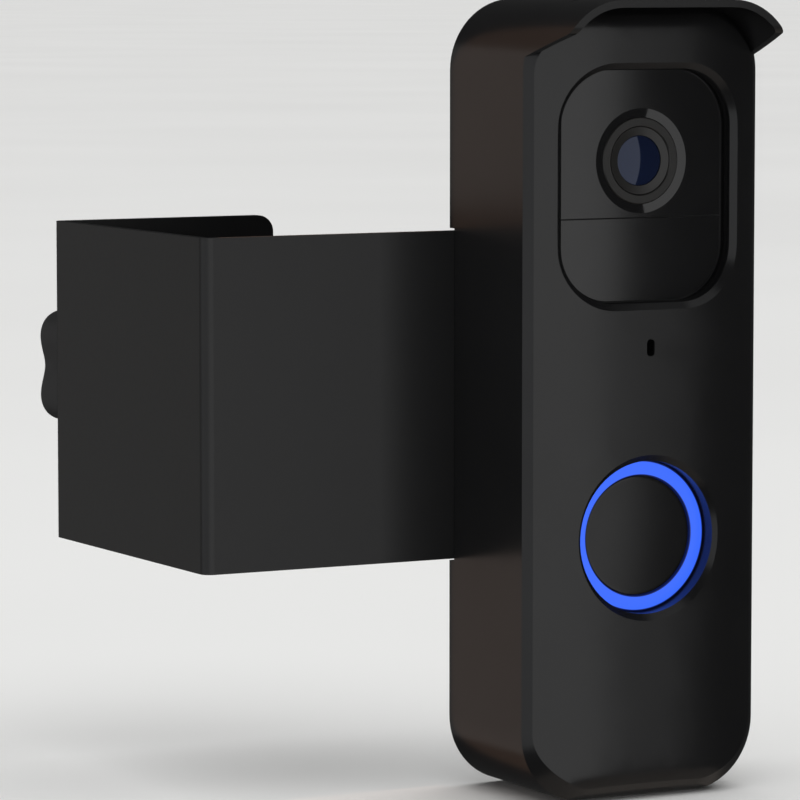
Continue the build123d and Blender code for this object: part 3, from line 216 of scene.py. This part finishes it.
case_black = moulded("case_black", (0.0055, 0.0055, 0.0058), 0.24, Specular_IOR_Level=0.53)
unit_black = moulded("unit_black", (0.012, 0.012, 0.013), 0.5)
bracket_black = powder_coat("bracket_black", (0.006, 0.006, 0.0063), 0.32)
window_black = moulded(
    "window_black", (0.005, 0.005, 0.0053), 0.06, relief=0.0003 * MM, Specular_IOR_Level=0.66
)
lens_black = moulded("lens_black", (0.012, 0.0115, 0.011), 0.30)
button_black = moulded("button_black", (0.005, 0.005, 0.0053), 0.20)
knob_black = moulded("knob_black", (0.018, 0.018, 0.0185), 0.5, grain=0.3 * MM, relief=0.01 * MM)
rubber_black = moulded("rubber_black", (0.020, 0.020, 0.020), 0.7, grain=0.5 * MM, relief=0.03 * MM)
grey_plastic = moulded("grey_plastic", (0.35, 0.35, 0.35), 0.45)
board_green = moulded("board_green", (0.02, 0.12, 0.06), 0.3)
chip_black = moulded("chip_black", (0.04, 0.04, 0.045), 0.5)
flex_amber = moulded("flex_amber", (0.5, 0.22, 0.04), 0.3)
clear_resin = moulded("clear_resin", (0.7, 0.7, 0.66), 0.2)
label_film = moulded("label_film", (0.25, 0.26, 0.28), 0.25)
screw_black = metal("screw_black", (0.06, 0.06, 0.065), 0.35)
zinc = metal("zinc", (0.58, 0.59, 0.60), 0.28, (1, 8, 1))
nickel = metal("nickel", (0.62, 0.60, 0.55), 0.25)
brass = metal("brass", (0.72, 0.52, 0.22), 0.25)

paint(case_black, "case_cover")
paint(unit_black, "case_back_plate", "mounting_plate", "front_housing", "rear_housing", "battery_tray")
paint(bracket_black, "door_bracket")
paint(rubber_black, "edge_pad", "pressure_pad", "housing_gasket", "speaker_gasket", "microphone_mesh")
paint(screw_black, "cover_screws", "bracket_screws", "housing_screws")
paint(zinc, "clamp_screw", "clamp_nut", "foot_clip", "pressure_foot", "motion_sensor")
paint(knob_black, "clamp_knob", "knob_cap")
paint(window_black, "camera_panel", "sensor_panel")
paint(lens_black, "lens_bezel", "lens_retainer", "lens_barrel", "lens_holder")
paint(button_black, "button_cap")
paint(board_green, "main_board", "camera_board", "rear_board", "terminal_block")
paint(chip_black, "image_sensor", "button_switch", "sync_switch", "microphone", "speaker")
paint(flex_amber, "camera_flex")
paint(clear_resin, "infrared_leds", "ring_leds")
paint(nickel, "antenna", "battery_contacts", "battery_springs")
paint(grey_plastic, "switch_plunger", "sync_button")
paint(label_film, "battery_left", "battery_right")
paint(brass, "terminal_screws")

glass = Finish(
    "lens_glass", (0.004, 0.007, 0.022), 0.05, Specular_Tint=(0.65, 0.75, 1.0, 1), Coat_Weight=0.3
)
paint(glass.material, "lens_glass", "lens_rear_element")


def middle_of(box):
    """(x, z) of the middle of a CAD node's box, and its front, back and half width in metres."""
    low, high = box
    return ((low.x + high.x) / 2, (low.z + high.z) / 2), low.y, high.y, (high.x - low.x) / 2


button_centre, cap_front, cap_back, cap_flange = middle_of(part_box("button_cap"))

# the ring is lit between these radii, with a dark outline on both sides
LIT_INNER, LIT_OUTER, LIT_BLUR = 10.32 * MM, 12.47 * MM, 0.06 * MM
RING_DARK, RING_BLUE = (0.002, 0.006, 0.055), (0.040, 0.145, 1.0)
ring = Finish("ring_light", (0.004, 0.008, 0.05), 0.35, Emission_Strength=1.0)
across = ring.add("ShaderNodeVectorMath", operation="MULTIPLY")
across.inputs[1].default_value = (1, 0, 1)
ring.tree.links.new(ring.place, across.inputs[0])
reach = ring.add("ShaderNodeVectorMath", operation="DISTANCE")
reach.inputs[1].default_value = (button_centre[0], 0, button_centre[1])
ring.tree.links.new(across.outputs["Vector"], reach.inputs[0])
inside = ring.blend(reach.outputs["Value"], 0.0, 1.0, LIT_INNER - LIT_BLUR, LIT_INNER + LIT_BLUR)
outside = ring.blend(reach.outputs["Value"], 1.0, 0.0, LIT_OUTER - LIT_BLUR, LIT_OUTER + LIT_BLUR)
lit = ring.add("ShaderNodeMath", operation="MULTIPLY")
ring.tree.links.new(inside, lit.inputs[0])
ring.tree.links.new(outside, lit.inputs[1])
ring.drive("Emission Color", ring.blend(lit.outputs["Value"], RING_DARK, RING_BLUE, 0.0, 1.0))
paint(ring.material, "light_ring")


# ---------------------------------------------------------------- turned pieces

CAP_RADIUS, CAP_CROWN, CAP_RECESS, CAP_RECESS_DEPTH = 10.0 * MM, 0.3 * MM, 8.5 * MM, 0.6 * MM
CAP_FLANGE_THICKNESS = 0.7 * MM
cap_rim = cap_front + CAP_CROWN
cap_step = cap_back - CAP_FLANGE_THICKNESS
cap_profile = [
    (0, cap_back - CAP_RECESS_DEPTH),
    (CAP_RECESS, cap_back - CAP_RECESS_DEPTH),
    (CAP_RECESS, cap_back),
    (cap_flange, cap_back),
    (cap_flange, cap_step),
    (CAP_RADIUS, cap_step),
    (CAP_RADIUS, cap_rim + 0.12 * MM),
    (CAP_RADIUS - 0.03 * MM, cap_rim + 0.04 * MM),
    *dome(CAP_RADIUS - 0.12 * MM, cap_rim, CAP_CROWN),
]
turned("button_face", cap_profile, button_centre, "button", "button_cap")

GLASS_FACE, GLASS_RISE, GLASS_STEP = 4.15 * MM, 0.55 * MM, 0.65 * MM
glass_centre, glass_front, glass_back, glass_radius = middle_of(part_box("lens_glass"))
glass_profile = [
    (0, glass_back),
    (glass_radius, glass_back),
    (glass_radius, glass_back - GLASS_STEP),
    (GLASS_FACE, glass_back - GLASS_STEP),
    (GLASS_FACE, glass_front + GLASS_RISE + 0.02 * MM),
    *dome(GLASS_FACE - 0.02 * MM, glass_front + GLASS_RISE, GLASS_RISE, 48),
]
turned("lens_front", glass_profile, glass_centre, "doorbell", "lens_glass")

SPIGOT, SPIGOT_EDGE, GROOVE, ROD = 2.4 * MM, 0.1 * MM, 2.0 * MM, 2.95 * MM
GROOVE_START, GROOVE_END, THREAD_START = 0.4 * MM, 1.0 * MM, 2.75 * MM
SCREW_PITCH, THREAD_DEPTH, THREAD_STEPS, THREAD_SEGMENTS = 1 * MM, 0.55 * MM, 12, 72
HEX_FLAT, HEX_THICKNESS, THREAD_RUNOUT = 5 * MM, 4 * MM, 0.5 * MM


def threaded(y, outer):
    """Radius, as a function of the angle, of a right-hand thread cut into a rod, at that height."""

    def radius(angle):
        turn = (y / SCREW_PITCH + angle / math.tau) % 1
        return outer - THREAD_DEPTH * (1 - abs(2 * turn - 1))

    return radius


def hexagon(angle):
    """Radius of the hexagonal head at that angle."""
    return HEX_FLAT / math.cos(angle % (math.pi / 3) - math.pi / 6)


screw_centre, screw_start, screw_end, _ = middle_of(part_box("clamp_screw"))
head_start = screw_end - HEX_THICKNESS
thread_start = screw_start + THREAD_START
thread_rings = THREAD_STEPS * (int((head_start - thread_start) / SCREW_PITCH) - 1)
thread_places = [thread_start + (i + 1) * SCREW_PITCH / THREAD_STEPS for i in range(thread_rings)]
screw_profile = [
    (0, screw_start),
    (SPIGOT - SPIGOT_EDGE, screw_start),
    (SPIGOT, screw_start + SPIGOT_EDGE),
    (SPIGOT, screw_start + GROOVE_START),
    (GROOVE, screw_start + GROOVE_START),
    (GROOVE, screw_start + GROOVE_END),
    (SPIGOT, screw_start + GROOVE_END),
    (SPIGOT, thread_start),
    (ROD - THREAD_DEPTH, thread_start),
    *[(threaded(y, ROD), y) for y in thread_places],
    (ROD, head_start - THREAD_RUNOUT),
    (ROD, head_start),
    (hexagon, head_start),
    (hexagon, screw_end),
    (0, screw_end),
]
turned(
    "clamp_screw_threaded",
    screw_profile,
    screw_centre,
    "clamp_screw",
    "clamp_screw",
    THREAD_SEGMENTS,
)


# ---------------------------------------------------------------- camera, stage and light

CAMERA_PLACE = Vector((-0.4020, -0.6871, 0.0727))
CAMERA_YAW = math.radians(28.30)
CAMERA_PITCH = math.radians(5.36)
CAMERA_LENS = 209.7
FLOOR_REACH = 60

camera = bpy.data.objects.new("camera", bpy.data.cameras.new("camera"))
camera.data.lens = CAMERA_LENS
camera.data.sensor_width = 36
camera.data.clip_start, camera.data.clip_end = 0.02, 100
camera.location = CAMERA_PLACE
camera.rotation_euler = (math.pi / 2 - CAMERA_PITCH, 0, -CAMERA_YAW)
scene.collection.objects.link(camera)
scene.camera = camera
scene.view_settings.view_transform = "Standard"

floor_mesh = bmesh.new()
bmesh.ops.create_grid(floor_mesh, x_segments=1, y_segments=1, size=FLOOR_REACH)
floor_data = bpy.data.meshes.new("floor")
floor_mesh.to_mesh(floor_data)
floor_mesh.free()
floor = bpy.data.objects.new("floor", floor_data)
floor.location.z = cad_box[0].z - 0.2 * MM
floor_finish = Finish("floor", (0.82, 0.82, 0.81), 0.8)
floor_shade = floor_finish.noise(0.4, 2)
floor_finish.drive("Base Color", floor_finish.blend(floor_shade, (0.80, 0.80, 0.79), (0.83, 0.83, 0.82)))
floor_data.materials.append(floor_finish.material)
# the floor stays out of the reflections, so that the glossy black shows the softboxes alone
floor.visible_glossy = False
floor.visible_shadow = False
scene.collection.objects.link(floor)

world = bpy.data.worlds.new("studio")
scene.world = world
world.use_nodes = True
studio = world.node_tree
backdrop = studio.nodes["Background"]
backdrop.inputs["Color"].default_value = (0.80, 0.80, 0.80, 1)
surroundings = studio.nodes.new("ShaderNodeBackground")
surroundings.inputs["Color"].default_value = (0.032, 0.032, 0.032, 1)
ray = studio.nodes.new("ShaderNodeLightPath")
choice = studio.nodes.new("ShaderNodeMixShader")
studio.links.new(ray.outputs["Is Camera Ray"], choice.inputs["Fac"])
studio.links.new(surroundings.outputs["Background"], choice.inputs[1])
studio.links.new(backdrop.outputs["Background"], choice.inputs[2])
studio.links.new(choice.outputs["Shader"], studio.nodes["World Output"].inputs["Surface"])

sky = bpy.data.lights.new("sky", "SUN")
sky.energy = 2.9
sky.angle = math.radians(100)
sky_lamp = bpy.data.objects.new("sky", sky)
# the sky only lights the floor and the matt parts, as its disc would show in every glossy edge
sky_lamp.visible_glossy = False
scene.collection.objects.link(sky_lamp)


def softbox(name, place, width, height, brightness, tint=(1, 1, 1), turn=0.0, aim=(0, 0, 0)):
    """Rectangular light that faces the object and isn't seen itself. turn rolls it, in degrees."""
    light = bpy.data.lights.new(name, "AREA")
    light.shape = "RECTANGLE"
    light.size, light.size_y = width, height
    light.energy = brightness * math.pi * width * height
    light.color = tint
    lamp = bpy.data.objects.new(name, light)
    lamp.location = place
    lamp.rotation_euler = (Vector(aim) - Vector(place)).to_track_quat("-Z", "Y").to_euler()
    lamp.rotation_euler.rotate_axis("Z", math.radians(turn))
    lamp.visible_camera = False
    scene.collection.objects.link(lamp)


softbox("key", (-0.038, -1.3, -0.10), 1.6, 1.6, 0.79, turn=-1, aim=(-0.038, 0, -0.1))
softbox("left", (-1.3, -0.35, 0.0), 2.4, 1.4, 0.54, (0.97, 0.98, 1.0), aim=(0, 0, 0))
softbox("back_left", (-0.9, 1.4, -0.1), 1.4, 1.4, 0.18, (1.0, 0.98, 0.96), aim=(0, 0, -0.1))
softbox("top", (0.2, -0.3, 1.3), 1.0, 1.0, 0.35, aim=(0, 0, 0))
softbox("floor_bounce", (0.3, -0.1, -0.9), 1.4, 1.4, 0.22, (1.0, 0.88, 0.78), aim=(0, 0, 0))
# the light that a wooden door's face would throw back on the side of the case, above and below the flange
for part, height in (("upper", 0.074), ("lower", -0.074)):
    place = (-0.0445, 0.001, height)
    softbox(f"door_{part}", place, 0.042, 0.092, 0.15, (1.0, 0.56, 0.36), aim=(-0.0445, -1, height))
